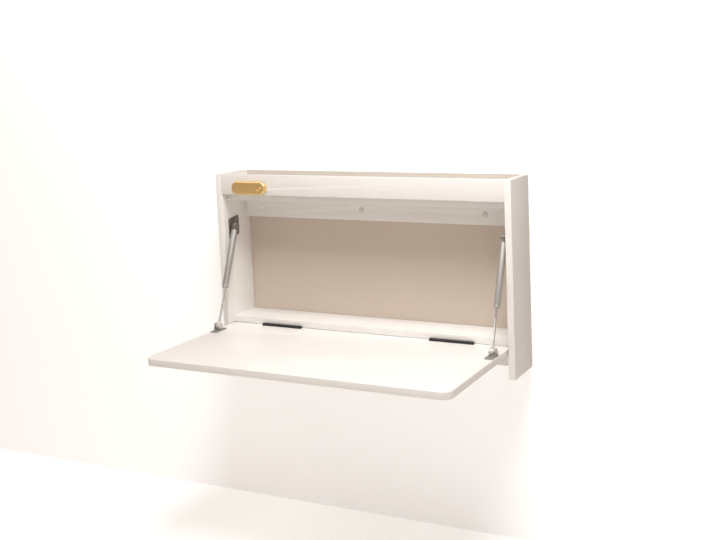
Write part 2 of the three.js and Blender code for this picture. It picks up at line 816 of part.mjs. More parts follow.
function addStrut(parent, side, label) {
  const strut = new THREE.Group();
  strut.position.set(side * strutX, upperPivotY, upperPivotZ);
  strut.rotation.x = -strutTilt;
  parent.add(strut);
  addPart(strut, `upper_ball_stud_${label}`, upperStud(side), satinSteel());
  addPart(strut, `tube_socket_${label}`, ballSocket(side, -1), satinSteel());
  addPart(strut, `strut_tube_${label}`, strutTube(), satinSilver());
  addPart(strut, `rod_guide_${label}`, rodGuide(), blackPlastic());
  addPart(strut, `strut_rod_${label}`, strutRod(), polishedRod());
  const lowerEnd = new THREE.Group();
  lowerEnd.position.z = -strutOpenLength;
  strut.add(lowerEnd);
  addPart(lowerEnd, `rod_socket_${label}`, ballSocket(side, 1), satinSteel());
  addPart(lowerEnd, `lower_ball_stud_${label}`, lowerStud(side), satinSteel());
}

function addTurnButton(parent) {
  const button = addPart(parent, 'turn_button', buttonBar(), bareBrass());
  button.position.set(buttonPivotX, buttonBack, buttonZ);
  button.rotation.x = Math.PI / 2;
  addPart(parent, 'turn_button_screw', buttonScrew(), bareBrass());
  addPart(parent, 'turn_button_washer', buttonWasher(), blackPlastic());
}

const group = new THREE.Group();
addCarcass(group);
addPart(group, 'flap', flapBoard(), whiteBoard());
for (const [side, label] of [[-1, 'left'], [1, 'right']]) {
  addHinge(group, side, label);
  addStrutBrackets(group, side, label);
  addStrut(group, side, label);
}
addTurnButton(group);

export default group;
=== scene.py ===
import json
import math

import bmesh
import bpy
from mathutils import Matrix, Vector


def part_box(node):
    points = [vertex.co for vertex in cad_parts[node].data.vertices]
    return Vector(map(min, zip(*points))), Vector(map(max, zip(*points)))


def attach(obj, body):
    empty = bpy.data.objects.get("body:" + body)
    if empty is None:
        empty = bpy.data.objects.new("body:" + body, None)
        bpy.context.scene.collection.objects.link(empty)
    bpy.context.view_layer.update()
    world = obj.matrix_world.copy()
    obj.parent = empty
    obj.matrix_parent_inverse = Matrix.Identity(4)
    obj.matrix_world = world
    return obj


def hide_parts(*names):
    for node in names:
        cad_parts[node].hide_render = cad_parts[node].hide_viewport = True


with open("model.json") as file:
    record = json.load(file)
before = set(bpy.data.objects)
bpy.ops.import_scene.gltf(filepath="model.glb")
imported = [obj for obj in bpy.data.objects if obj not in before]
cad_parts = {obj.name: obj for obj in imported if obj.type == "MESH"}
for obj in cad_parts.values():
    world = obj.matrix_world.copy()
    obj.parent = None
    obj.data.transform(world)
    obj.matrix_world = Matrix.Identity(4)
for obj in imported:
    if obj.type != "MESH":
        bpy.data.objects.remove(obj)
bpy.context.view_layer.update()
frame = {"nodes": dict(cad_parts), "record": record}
print("frame loaded:", len(frame["nodes"]), "nodes")

scene = bpy.context.scene
record = frame["record"]
bodyOf = {node: body for body, nodes in record["behaviour"]["bodies"].items() for node in nodes}
sides = {"left": -1, "right": 1}
hair = 1e-6  # metres: points closer than this are one

# the camera stands where the photograph was taken, and keeps a little of its lens shift
cameraLook = {
    "place": (1.18408, -2.11638, 0.3422), "turn": (83.245, 1.7069, 23.391),
    "lens": 49.407, "sensor": 36.0, "shift": (-0.16, -0.12), "nearest": 0.05,
}


def buildCamera(look):
    data = bpy.data.cameras.new("roomCamera")
    data.lens = look["lens"]
    data.sensor_width = look["sensor"]
    data.shift_x, data.shift_y = look["shift"]
    data.clip_start = look["nearest"]
    camera = bpy.data.objects.new("roomCamera", data)
    camera.location = look["place"]
    camera.rotation_euler = [math.radians(a) for a in look["turn"]]
    scene.collection.objects.link(camera)
    scene.camera = camera


buildCamera(cameraLook)


# a new shader node; each setting is one of its own, or else the value of an input
def put(tree, kind, **settings):
    made = tree.nodes.new(kind)
    for key, value in settings.items():
        if hasattr(made, key):
            setattr(made, key, value)
        else:
            made.inputs[key].default_value = value
    return made


# a socket takes the output of another node, or a plain value
def feed(tree, value, socket):
    if isinstance(value, bpy.types.NodeSocket):
        tree.links.new(value, socket)
    else:
        socket.default_value = value


def calc(tree, operation, *values, clamp=False):
    made = put(tree, "ShaderNodeMath", operation=operation, use_clamp=clamp)
    for value, socket in zip(values, made.inputs):
        feed(tree, value, socket)
    return made.outputs[0]


def between(tree, factor, low, high):
    made = put(tree, "ShaderNodeMix", data_type="RGBA")
    feed(tree, factor, made.inputs[0])
    feed(tree, low, made.inputs[6])  # the mix node keeps its two colours in 6 and 7
    feed(tree, high, made.inputs[7])
    return made.outputs[2]


# a value of 0 to 1 is spread from low to high
def spread(tree, value, low, high):
    made = put(tree, "ShaderNodeMapRange", **{"To Min": low, "To Max": high})
    feed(tree, value, made.inputs["Value"])
    return made.outputs["Result"]


# 1 where the distance is nothing, and 0 from the end on
def fade(tree, distance, end):
    return calc(tree, "SUBTRACT", 1.0, calc(tree, "DIVIDE", distance, end), clamp=True)


def axes(tree, point):
    made = put(tree, "ShaderNodeSeparateXYZ")
    feed(tree, point, made.inputs[0])
    return made.outputs


def noise(tree, point, scale, **settings):
    made = put(tree, "ShaderNodeTexNoise", **settings)
    feed(tree, point, made.inputs["Vector"])
    feed(tree, scale, made.inputs["Scale"])
    return made.outputs[0]


number, vector = "NodeSocketFloat", "NodeSocketVector"


def newGroup(name, inputs, outputs):
    group = bpy.data.node_groups.new(name, "ShaderNodeTree")
    for label, kind, value in inputs:
        socket = group.interface.new_socket(name=label, in_out="INPUT", socket_type=kind)
        if value is not None:
            socket.default_value = value
    for label in outputs:
        group.interface.new_socket(name=label, in_out="OUTPUT", socket_type=number)
    entry = group.nodes.new("NodeGroupInput")
    leave = group.nodes.new("NodeGroupOutput")
    return group, entry.outputs, leave.inputs


# lacquer: soft mottling of the tone, and the fine peel of a rolled coat
coatLook = {"mottle": (-0.35, 1.35), "smear": 38.0}


def buildCoatGroup(look):
    group, given, out = newGroup(
        "rolledCoat",
        [("Point", vector, None), ("Patch", number, 5.0), ("Peel", number, 620.0)],
        ["Tone", "Gloss", "Height"],
    )
    point = given["Point"]
    cloud = noise(group, point, given["Patch"], Detail=4.0, Roughness=0.55)
    smear = noise(group, point, look["smear"], Detail=6.0, Roughness=0.6, Distortion=0.6)
    peel = noise(group, point, given["Peel"], Detail=2.0, Roughness=0.5)
    feed(group, spread(group, cloud, *look["mottle"]), out["Tone"])
    feed(group, calc(group, "MULTIPLY", smear, cloud), out["Gloss"])
    feed(group, peel, out["Height"])
    return group


# board edges: the glued seam of the edge strip, on the broad faces alone, and the rubbed rim
edgeLook = {
    "seamHalf": 0.00022, "faceDepth": 0.0002,
    "rubReach": 0.0035, "rubScale": 55.0, "rubRange": (-0.9, 1.6),
}


# the point lies in a frame where the board is thin along Z; half is half its length, width, thickness
def buildEdgeGroup(look):
    group, given, out = newGroup(
        "boardEdge",
        [("Point", vector, None), ("Half", vector, (0.4, 0.1, 0.008)),
         ("Corner", number, 0.001), ("Strip", number, 0.001)],
        ["Seam", "Rim"],
    )
    spot = [calc(group, "ABSOLUTE", way) for way in axes(group, given["Point"])]
    half = axes(group, given["Half"])
    reach = []
    for axis in (0, 1):
        inner = calc(group, "SUBTRACT", half[axis], given["Corner"])
        reach.append(calc(group, "SUBTRACT", spot[axis], inner))
    outside = [calc(group, "MAXIMUM", way, 0.0) for way in reach]
    squares = [calc(group, "MULTIPLY", way, way) for way in outside]
    past = calc(group, "SQRT", calc(group, "ADD", *squares))
    inside = calc(group, "MINIMUM", calc(group, "MAXIMUM", *reach), 0.0)
    outward = calc(group, "SUBTRACT", calc(group, "ADD", past, inside), given["Corner"])
    inward = calc(group, "MULTIPLY", outward, -1.0)
    fromSeam = calc(group, "ABSOLUTE", calc(group, "SUBTRACT", inward, given["Strip"]))
    face = calc(group, "SUBTRACT", half[2], look["faceDepth"])
    onFace = calc(group, "GREATER_THAN", spot[2], face)
    seam = calc(group, "MULTIPLY", fade(group, fromSeam, look["seamHalf"]), onFace)
    rub = noise(group, given["Point"], look["rubScale"], Detail=5.0, Roughness=0.7)
    patchy = spread(group, rub, *look["rubRange"])
    near = fade(group, inward, look["rubReach"])
    feed(group, seam, out["Seam"])
    feed(group, calc(group, "MULTIPLY", near, patchy, clamp=True), out["Rim"])
    return group


# metal: fine lines along X of the point, and a broad stain
def buildLineGroup():
    group, given, out = newGroup(
        "drawnLines",
        [("Point", vector, None), ("Fine", number, 2600.0), ("Long", number, 30.0), ("Stain", number, 60.0)],
        ["Lines", "Stain"],
    )
    stretch = put(group, "ShaderNodeCombineXYZ")
    for label, socket in zip(("Long", "Fine", "Fine"), stretch.inputs):
        feed(group, given[label], socket)
    scaled = put(group, "ShaderNodeVectorMath", operation="MULTIPLY")
    feed(group, given["Point"], scaled.inputs[0])
    feed(group, stretch.outputs[0], scaled.inputs[1])
    lines = noise(group, scaled.outputs[0], 1.0, Detail=3.0, Roughness=0.6)
    stain = noise(group, given["Point"], given["Stain"], Detail=5.0, Roughness=0.6, Distortion=0.4)
    feed(group, lines, out["Lines"])
    feed(group, stain, out["Stain"])
    return group


# moulded and coated surfaces: spark-eroded grain, and handling marks
def buildGrainGroup():
    group, given, out = newGroup(
        "mouldGrain",
        [("Point", vector, None), ("Grain", number, 1800.0), ("Marks", number, 90.0)],
        ["Height", "Marks"],
    )
    cells = put(group, "ShaderNodeTexVoronoi", feature="SMOOTH_F1")
    feed(group, given["Point"], cells.inputs["Vector"])
    feed(group, given["Grain"], cells.inputs["Scale"])
    marks = noise(group, given["Point"], given["Marks"], Detail=6.0, Roughness=0.65, Distortion=0.8)
    feed(group, cells.outputs["Distance"], out["Height"])
    feed(group, marks, out["Marks"])
    return group


coatGroup = buildCoatGroup(coatLook)
edgeGroup = buildEdgeGroup(edgeLook)
lineGroup = buildLineGroup()
grainGroup = buildGrainGroup()
print("shader groups built")


def newMaterial(name):
    material = bpy.data.materials.new(name)
    material.use_nodes = True
    tree = material.node_tree
    tree.nodes.clear()
    shader = tree.nodes.new("ShaderNodeBsdfPrincipled")
    end = tree.nodes.new("ShaderNodeOutputMaterial")
    tree.links.new(shader.outputs[0], end.inputs[0])
    return material, tree, shader


def placeGroup(tree, group, point, **values):
    made = put(tree, "ShaderNodeGroup", node_tree=group)
    feed(tree, point, made.inputs["Point"])
    for key, value in values.items():
        made.inputs[key].default_value = value
    return made.outputs


def objectPoint(tree, centre=(0, 0, 0), turn=(0, 0, 0)):
    coords = tree.nodes.new("ShaderNodeTexCoord")
    mapping = put(tree, "ShaderNodeMapping", vector_type="TEXTURE", Location=centre, Rotation=turn)
    tree.links.new(coords.outputs["Object"], mapping.inputs["Vector"])
    return mapping.outputs[0]


def bumpFrom(tree, shader, height, strength, distance):
    bump = put(tree, "ShaderNodeBump", Strength=strength, Distance=distance)
    feed(tree, height, bump.inputs["Height"])
    tree.links.new(bump.outputs[0], shader.inputs["Normal"])


def roundEdges(work, edges, radius, steps):
    bmesh.ops.bevel(
        work, geom=edges, offset=radius, offset_type="OFFSET", segments=steps, profile=0.5,
        affect="EDGES", clamp_overlap=True, material=-1,
    )


# a ring of edges is extruded along Z by a step, and scaled to a radius if one is given
def grow(work, ring, step, radius=None):
    grown = bmesh.ops.extrude_edge_only(work, edges=ring)["geom"]
    points = [v for v in grown if isinstance(v, bmesh.types.BMVert)]
    if radius:
        across = max(v.co.xy.length for v in points)
        bmesh.ops.scale(work, vec=(radius / across, radius / across, 1), verts=points)
    bmesh.ops.translate(work, vec=(0, 0, step), verts=points)
    return [e for e in grown if isinstance(e, bmesh.types.BMEdge)]


# the worked form becomes the piece for its node, with creases over the sharp angle kept crisp
def addPiece(node, work, material, sharp):
    mesh = bpy.data.meshes.new(node + "_mesh")
    work.to_mesh(mesh)
    work.free()
    mesh.set_sharp_from_angle(angle=math.radians(sharp))
    mesh.materials.append(material)
    piece = bpy.data.objects.new(node + "_piece", mesh)
    scene.collection.objects.link(piece)
    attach(piece, bodyOf[node])
    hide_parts(node)


# how a CAD form is finished: angles in degrees, and faces over flatOver square metres stay flat
dressLook = {"merge": 2e-6, "flatten": 0.6, "rimFrom": 55, "flatOver": 4e-5, "sharp": 38}


# a CAD mesh is loose triangles, so a copy is merged, and triangles in one plane become one face
def mergedCopy(node):
    work = bmesh.new()
    work.from_mesh(frame["nodes"][node].data)
    bmesh.ops.remove_doubles(work, verts=work.verts, dist=dressLook["merge"])
    flat = math.radians(dressLook["flatten"])
    bmesh.ops.dissolve_limit(work, angle_limit=flat, verts=work.verts, edges=work.edges)
    return work


def dressNode(node, material, rim=0.0, steps=2):
    work = mergedCopy(node)
    if rim:
        crease = math.radians(dressLook["rimFrom"])
        edges = [e for e in work.edges if len(e.link_faces) == 2 and e.calc_face_angle() > crease]
        roundEdges(work, edges, rim, steps)
    for face in work.faces:
        face.smooth = face.calc_area() < dressLook["flatOver"]
    addPiece(node, work, material, dressLook["sharp"])


# white coated furniture board with glued edge strips, and the axis along which each board is thin
boardLook = {
    "light": (0.89, 0.875, 0.855, 1), "shade": (0.85, 0.83, 0.805, 1), "rough": (0.3, 0.46),
    "patch": 4.0, "peel": 620.0, "peelStrength": 0.16, "peelDepth": 0.00012,
    "seam": (0.5, 0.46, 0.41, 1), "seamShare": 0.55, "seamDepth": 1.5, "strip": 0.001,
    "rim": (0.92, 0.91, 0.88, 1), "rimShare": 0.6, "rimWidth": 0.0007, "rimSteps": 3,
    "corner": 0.0005, "flapCorner": 0.022,
}
boards = {
    "side_panel_left": "x", "side_panel_right": "x", "top_board": "z", "bottom_board": "z",
    "fascia": "y", "hanging_rail": "y", "lower_rail": "y", "flap": "z",
}
flatTurn = {"z": (0, 0, 0), "y": (math.pi / 2, 0, 0), "x": (0, math.pi / 2, 0)}


def boardMaterial(node, thin, look):
    low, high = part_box(node)
    centre, size = (low + high) / 2, high - low
    half = {"z": size.xyz, "y": size.xzy, "x": size.zyx}[thin] / 2
    corner = look["flapCorner"] if node == "flap" else look["corner"]
    material, tree, shader = newMaterial("whiteBoard_" + node)
    coat = placeGroup(tree, coatGroup, objectPoint(tree), Patch=look["patch"], Peel=look["peel"])
    flatPoint = objectPoint(tree, centre, flatTurn[thin])
    edge = placeGroup(tree, edgeGroup, flatPoint, Half=half, Corner=corner, Strip=look["strip"])
    tone = between(tree, coat["Tone"], look["shade"], look["light"])
    rubbed = calc(tree, "MULTIPLY", edge["Rim"], look["rimShare"])
    tone = between(tree, rubbed, tone, look["rim"])
    glued = calc(tree, "MULTIPLY", edge["Seam"], look["seamShare"])
    tone = between(tree, glued, tone, look["seam"])
    feed(tree, tone, shader.inputs["Base Color"])
    feed(tree, spread(tree, coat["Gloss"], *look["rough"]), shader.inputs["Roughness"])
    sunk = calc(tree, "MULTIPLY", edge["Seam"], look["seamDepth"])
    height = calc(tree, "SUBTRACT", coat["Height"], sunk)
    bumpFrom(tree, shader, height, look["peelStrength"], look["peelDepth"])
    return material


for node, thin in boards.items():
    material = boardMaterial(node, thin, boardLook)
    dressNode(node, material, rim=boardLook["rimWidth"], steps=boardLook["rimSteps"])
print("boards dressed")

# an open strut runs this far from ball to ball, and its drawn lines lean with it
strutRun = {"forward": 0.089, "down": 0.240}
strutTurn = math.atan2(strutRun["forward"], strutRun["down"])
alongStrut = (-strutTurn, math.pi / 2, 0)

# metals: rough is the roughness at its glossiest and dullest, coat that of a clear lacquer
metalLooks = {
    "satinSilver": {
        "light": (0.55, 0.54, 0.52, 1), "dark": (0.42, 0.41, 0.395, 1), "rough": (0.56, 0.7),
        "fine": 2600.0, "long": 24.0, "stain": 45.0, "depth": 0.00003, "turn": alongStrut,
        "metallic": 0.85,
    },
    "rodChrome": {
        "light": (0.86, 0.86, 0.87, 1), "dark": (0.74, 0.74, 0.75, 1), "rough": (0.06, 0.2),
        "fine": 1800.0, "long": 12.0, "stain": 120.0, "depth": 0.00001, "turn": alongStrut,
    },
    # zinc darkened for the upper plates, painting the shade they sit in, with a mottled stain over it
    "shadeDarkZinc": {
        "light": (0.44, 0.4, 0.365, 1), "dark": (0.045, 0.038, 0.033, 1), "rough": (0.38, 0.6),
        "fine": 700.0, "long": 180.0, "stain": 190.0, "depth": 0.00004, "turn": (0, math.pi / 2, 0),
    },
    "satinSteel": {
        "light": (0.78, 0.765, 0.745, 1), "dark": (0.66, 0.645, 0.625, 1), "rough": (0.5, 0.66),
        "fine": 2200.0, "long": 90.0, "stain": 160.0, "depth": 0.00002, "metallic": 0.65,
    },
    # satin steel darkened for the upper studs and sockets, painting the shade they sit in
    "shadeDarkSteel": {
        "light": (0.4, 0.385, 0.37, 1), "dark": (0.24, 0.23, 0.22, 1), "rough": (0.55, 0.7),
        "fine": 2200.0, "long": 90.0, "stain": 160.0, "depth": 0.00002,
    },
    "clearZinc": {
        "light": (0.5, 0.49, 0.48, 1), "dark": (0.26, 0.255, 0.248, 1), "rough": (0.42, 0.58),
        "fine": 900.0, "long": 120.0, "stain": 110.0, "depth": 0.00003, "metallic": 0.7,
    },
    "bareBrass": {
        "light": (0.98, 0.72, 0.32, 1), "dark": (0.88, 0.62, 0.25, 1), "rough": (0.38, 0.5),
        "fine": 2400.0, "long": 26.0, "stain": 70.0, "depth": 0.00003, "coat": 0.38,
    },
}
metalBlend = {"lines": 0.45, "stain": 0.7, "bump": 0.35}  # shares of the tone, strength of the bump


def metalMaterial(name, look):
    material, tree, shader = newMaterial(name)
    point = objectPoint(tree, turn=look.get("turn", (0, 0, 0)))
    drawn = placeGroup(tree, lineGroup, point, Fine=look["fine"], Long=look["long"], Stain=look["stain"])
    lines = calc(tree, "MULTIPLY", drawn["Lines"], metalBlend["lines"])
    stain = calc(tree, "MULTIPLY", drawn["Stain"], metalBlend["stain"])
    blend = calc(tree, "ADD", lines, stain, clamp=True)
    feed(tree, between(tree, blend, look["dark"], look["light"]), shader.inputs["Base Color"])
    glossiest, dullest = look["rough"]
    feed(tree, spread(tree, blend, dullest, glossiest), shader.inputs["Roughness"])
    shader.inputs["Metallic"].default_value = look.get("metallic", 1.0)
    if "coat" in look:
        shader.inputs["Coat Weight"].default_value = 1.0
        shader.inputs["Coat Roughness"].default_value = look["coat"]
    bumpFrom(tree, shader, drawn["Lines"], metalBlend["bump"], look["depth"])
    return material


coatedLooks = {
    "blackSteel": {
        "light": (0.02, 0.019, 0.018, 1), "dark": (0.008, 0.008, 0.008, 1), "rough": (0.45, 0.65),
        "grain": 1500.0, "marks": 120.0, "depth": 0.00003,
    },
    "blackPlastic": {
        "light": (0.04, 0.04, 0.042, 1), "dark": (0.018, 0.018, 0.019, 1), "rough": (0.38, 0.6),
        "grain": 2200.0, "marks": 150.0, "depth": 0.00004,
    },
    # cap plastic greyed for the middle and right fixing caps, painting the shade they sit in
    "shadeGreyPlastic": {
        "light": (0.74, 0.71, 0.67, 1), "dark": (0.62, 0.59, 0.555, 1), "rough": (0.4, 0.58),
        "grain": 2000.0, "marks": 140.0, "depth": 0.00003,
    },
    "whitePlastic": {
        "light": (0.96, 0.955, 0.945, 1), "dark": (0.92, 0.91, 0.895, 1), "rough": (0.08, 0.2),
        "grain": 2000.0, "marks": 120.0, "depth": 0.00003,
    },
}
grainBump = 0.3


def coatedMaterial(name, look):
    material, tree, shader = newMaterial(name)
    grain = placeGroup(tree, grainGroup, objectPoint(tree), Grain=look["grain"], Marks=look["marks"])
    feed(tree, between(tree, grain["Marks"], look["dark"], look["light"]), shader.inputs["Base Color"])
    feed(tree, spread(tree, grain["Marks"], *look["rough"]), shader.inputs["Roughness"])
    bumpFrom(tree, shader, grain["Height"], grainBump, look["depth"])
    return material


finishes = {name: metalMaterial(name, look) for name, look in metalLooks.items()}
finishes |= {name: coatedMaterial(name, look) for name, look in coatedLooks.items()}
print("materials built")

hingeLook = {"finish": "blackSteel", "leafRim": 0.00025}

for label in sides:
    black = finishes[hingeLook["finish"]]
    for leaf in ("fixed", "moving"):
        dressNode(f"hinge_leaf_{leaf}_{label}", black, rim=hingeLook["leafRim"])
    dressNode("hinge_pin_" + label, black)
    for leaf in ("fixed", "moving"):
        for count in (1, 2, 3):
            dressNode(f"hinge_screw_{leaf}_{label}_{count}", black)
print("hinges dressed")

# screws with a cross recess, in metres and degrees; as shares, rimFrom is where the head's round
# rim begins, ease and draw round off and draw in the grid inside it, and cross is the cross's reach
screwLook = {
    "finish": "clearZinc", "head": 0.0036, "headHeight": 0.0012, "shank": 0.0019, "length": 0.012,
    "tip": 0.0002, "rimFrom": 0.8, "ease": 0.45, "draw": 0.86,
    "cross": 0.65, "recess": 0.0014, "squeeze": 0.62, "sharp": 35,
}
screwTurn = {
    "down": Matrix.Rotation(math.pi, 4, "X"),
    "right": Matrix.Rotation(math.pi / 2, 4, "Y"),
    "left": Matrix.Rotation(-math.pi / 2, 4, "Y"),
}


# the middle of the side of the node's box where the screw goes in
def screwSeat(node, way):
    low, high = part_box(node)
    seat = (low + high) / 2
    if way == "down":
        seat.z = high.z
    else:
        seat.x = low.x if way == "right" else high.x
    return seat


def inCross(face, look):
    middle = face.calc_center_median()
    return min(abs(middle.x), abs(middle.y)) < hair and middle.length < look["cross"] * look["head"]


def crossScrew(node, way):
    look = screwLook
    head, shank = look["head"], look["shank"]
    work = bmesh.new()
    bmesh.ops.create_grid(work, x_segments=5, y_segments=5, size=head)
    for vert in work.verts:
        flat = Vector((vert.co.x, vert.co.y, 0))
        square = max(abs(flat.x), abs(flat.y))
        if square > look["rimFrom"] * head:
            vert.co = flat.normalized() * head
        elif square > 0:
            vert.co = flat.lerp(flat.normalized() * square, look["ease"]) * look["draw"]
    cross = [f for f in work.faces if inCross(f, look)]
    sunk = bmesh.ops.extrude_face_region(work, geom=cross)["geom"]
    floor = [v for v in sunk if isinstance(v, bmesh.types.BMVert)]
    bmesh.ops.delete(work, geom=cross, context="FACES")
    bmesh.ops.scale(work, vec=(look["squeeze"], look["squeeze"], 1), verts=floor)
    bmesh.ops.translate(work, vec=(0, 0, look["recess"]), verts=floor)
    ring = [e for e in work.edges if e.is_boundary]
    ring = grow(work, ring, look["headHeight"], shank)
    ring = grow(work, ring, look["length"] - look["headHeight"] - shank, shank)
    ring = grow(work, ring, shank, look["tip"])
    bmesh.ops.holes_fill(work, edges=ring, sides=0)
    bmesh.ops.recalc_face_normals(work, faces=work.faces)
    place = Matrix.Translation(screwSeat(node, way)) @ screwTurn[way]
    bmesh.ops.transform(work, matrix=place, verts=work.verts)
    for face in work.faces:
        face.smooth = True
    addPiece(node, work, finishes[look["finish"]], look["sharp"])


for label in sides:
    for count in (1, 2):
        crossScrew(f"upper_plate_screw_{label}_{count}", label)
        crossScrew(f"foot_screw_{label}_{count}", "down")
print("screws cut")

# the finish of what holds and ends each strut, darkened for the upper plate, studs and sockets as painted
# shade, and the width of its softened rims
strutFittings = {
    "upper_plate_": ("shadeDarkZinc", 0.0003), "foot_bracket_": ("clearZinc", 0.0003),
    "upper_ball_stud_": ("shadeDarkSteel", 0.0), "lower_ball_stud_": ("satinSteel", 0.0),
    "tube_socket_": ("shadeDarkSteel", 0.0004), "rod_socket_": ("satinSteel", 0.0004),
    "rod_guide_": ("blackPlastic", 0.0), "strut_rod_": ("rodChrome", 0.0),
}

for label in sides:
    for stem, (finish, rim) in strutFittings.items():
        dressNode(stem + label, finishes[finish], rim=rim)

# strut tubes: drawn tube with a closed end, a rolled groove and a turned-in mouth
tubeLook = {
    "finish": "satinSilver", "pivot": (0.370, -0.082, -0.040), "top": 0.0117, "end": 0.16061,
    "radius": 0.0075, "wall": 0.001, "roof": 0.003, "shoulder": 0.0015, "shoulderCut": (0.0004, 0.0005),
    "groove": 0.0068, "grooveDepth": 0.00055, "grooveHalf": 0.0012, "grooveSteps": 8,
    "lip": 0.0048, "lipWall": 0.0012, "lipCut": 0.0004, "steps": 64, "sharp": 50,
}


# pairs of radius and distance from the upper ball: down the outside, round the mouth, up inside
def tubeProfile(look):
    outer, top, end = look["radius"], look["top"], look["end"]
    inner, roof, mouth = outer - look["wall"], top + look["roof"], end - look["lipWall"]
    cutIn, cutDown = look["shoulderCut"]
    grooveTop = end - look["groove"] - look["grooveHalf"]
    rows = look["grooveSteps"]
    profile = [(0, top), (outer - look["shoulder"], top)]
    profile += [(outer - cutIn, top + cutDown), (outer, top + look["shoulder"])]
    for i in range(rows + 1):
        sink = look["grooveDepth"] * (0.5 - 0.5 * math.cos(2 * math.pi * i / rows))
        profile.append((outer - sink, grooveTop + 2 * look["grooveHalf"] * i / rows))
    profile += [(outer, mouth), (outer - look["lipCut"], end - look["lipCut"])]
    profile += [(outer - look["lipWall"], end), (look["lip"], end), (look["lip"], mouth)]
    return profile + [(inner, mouth), (inner, roof), (0, roof)]


def strutTube(label, side):
    look = tubeLook
    work = bmesh.new()
    corners = [work.verts.new((radius, 0, -down)) for radius, down in tubeProfile(look)]
    line = [work.edges.new(pair) for pair in zip(corners, corners[1:])]
    bmesh.ops.spin(
        work, geom=corners + line, cent=(0, 0, 0), axis=(0, 0, 1), angle=2 * math.pi,
        steps=look["steps"], use_merge=True,
    )
    bmesh.ops.remove_doubles(work, verts=work.verts, dist=hair)
    bmesh.ops.recalc_face_normals(work, faces=work.faces)
    across, forward, up = look["pivot"]
    place = Matrix.Translation((side * across, forward, up)) @ Matrix.Rotation(-strutTurn, 4, "X")
    bmesh.ops.transform(work, matrix=place, verts=work.verts)
    for face in work.faces:
        face.smooth = True
    addPiece("strut_tube_" + label, work, finishes[look["finish"]], look["sharp"])


for label, side in sides.items():
    strutTube(label, side)
print("struts dressed")

# turn button: a brass bar with a rounded front edge and a sunk seat for its pivot screw, whose
# drive is inset and sunk; faces squarer to the front than flatFrom stay flat and reflect evenly
buttonLook = {
    "finish": "bareBrass", "pivot": (-0.263, -0.1135, 0.0615), "length": 0.101, "height": 0.034,
    "thickness": 0.008, "round": 0.005, "roundSteps": 8, "steps": 64,
    "seatRadius": 0.006, "seatDepth": 0.0026, "seatEdge": 0.00035, "hole": 0.003,
    "driveInset": 0.0019, "driveSink": 0.0013, "flatFrom": 0.999, "sharp": 32,
}
outFront = Matrix.Rotation(math.pi / 2, 4, "X")


def addBrass(node, work):
    work.normal_update()
    for face in work.faces:
        face.smooth = abs(face.normal.y) < buttonLook["flatFrom"]
    addPiece(node, work, finishes[buttonLook["finish"]], buttonLook["sharp"])


def turnButton(look):
    thickness, steps = look["thickness"], look["steps"]
    work = bmesh.new()
    outline = bmesh.ops.create_circle(work, segments=steps, radius=look["height"] / 2)["verts"]
    leftHalf = [v for v in outline if v.co.x < -hair]
    bmesh.ops.translate(work, vec=(look["height"] - look["length"], 0, 0), verts=leftHalf)
    back = list(work.edges)
    front = grow(work, back, thickness)
    bmesh.ops.holes_fill(work, edges=front, sides=0)
    roundEdges(work, front, look["round"], look["roundSteps"])
    flat = max(work.faces, key=lambda f: f.calc_center_median().z)
    rim = list(flat.edges)
    bmesh.ops.delete(work, geom=[flat], context="FACES_ONLY")
    mouth = look["seatRadius"] + look["seatEdge"]
    atFront = Matrix.Translation((0, 0, thickness))
    circle = bmesh.ops.create_circle(work, segments=steps, radius=mouth, matrix=atFront)["verts"]
    seat = list({e for v in circle for e in v.link_edges})
    bmesh.ops.triangle_fill(work, edges=rim + seat, use_beauty=True)
    seatWall = grow(work, seat, -look["seatEdge"], look["seatRadius"])
    seatFloor = grow(work, seatWall, look["seatEdge"] - look["seatDepth"])
    hole = grow(work, seatFloor, 0, look["hole"])
    holeBack = grow(work, hole, look["seatDepth"] - thickness)
    bmesh.ops.triangle_fill(work, edges=back + holeBack, use_beauty=True)
    bmesh.ops.recalc_face_normals(work, faces=work.faces)
    bmesh.ops.transform(work, matrix=Matrix.Translation(look["pivot"]) @ outFront, verts=work.verts)
    addBrass("turn_button", work)


# the pivot screw keeps its CAD form, with a drive sunk in its head
def pivotScrew(look):
    work = mergedCopy("turn_button_screw")
    head = min(work.faces, key=lambda f: f.calc_center_median().y)
    bmesh.ops.inset_individual(work, faces=[head], thickness=look["driveInset"])
    sunk = bmesh.ops.extrude_discrete_faces(work, faces=[head])["faces"][0]
    bmesh.ops.translate(work, vec=(0, look["driveSink"], 0), verts=sunk.verts)
    addBrass("turn_button_screw", work)


turnButton(buttonLook)
pivotScrew(buttonLook)

# the middle and right fixing caps take the greyed cap plastic, which paints their shade
mouldings = {
    "turn_button_washer": "blackPlastic", "fixing_cap_left": "whitePlastic",
    "fixing_cap_middle": "shadeGreyPlastic", "fixing_cap_right": "shadeGreyPlastic",
}
stopPinLook = {"finish": "whitePlastic", "rim": 0.0005}

for node, finish in mouldings.items():
    dressNode(node, finishes[finish])
for label in sides:
    dressNode("stop_pin_" + label, finishes[stopPinLook["finish"]], rim=stopPinLook["rim"])
print("button and mouldings dressed")

# room: a pale floor and wall, and behind each opening of the cabinet a patch, by its foot, top and
# tone, for the wall that is seen through it: a beige wall tone, darkened to paint the shade in the opening
roomLook = {
    "floorTone": (0.92, 0.915, 0.905, 1), "floorGlow": 0.5, "floorPlace": (0, -1.0, -0.8),
    "wallTone": (0.96, 0.957, 0.953, 1), "wallGlow": 0.36, "wallGap": 0.004, "reach": 7.0,
    "shadePatches": {
        "nicheShadePatch": (-0.278, -0.023, (0.66, 0.575, 0.495, 1)),
        "trayShadePatch": (0.039, 0.094, (0.66, 0.605, 0.545, 1)),
    },
    "patchGap": 0.0015, "patchWidth": 0.772, "patchSolid": 0.85,
}
paintLook = {"patch": 0.8, "peel": 160.0, "deeper": 0.97, "rough": 0.9}


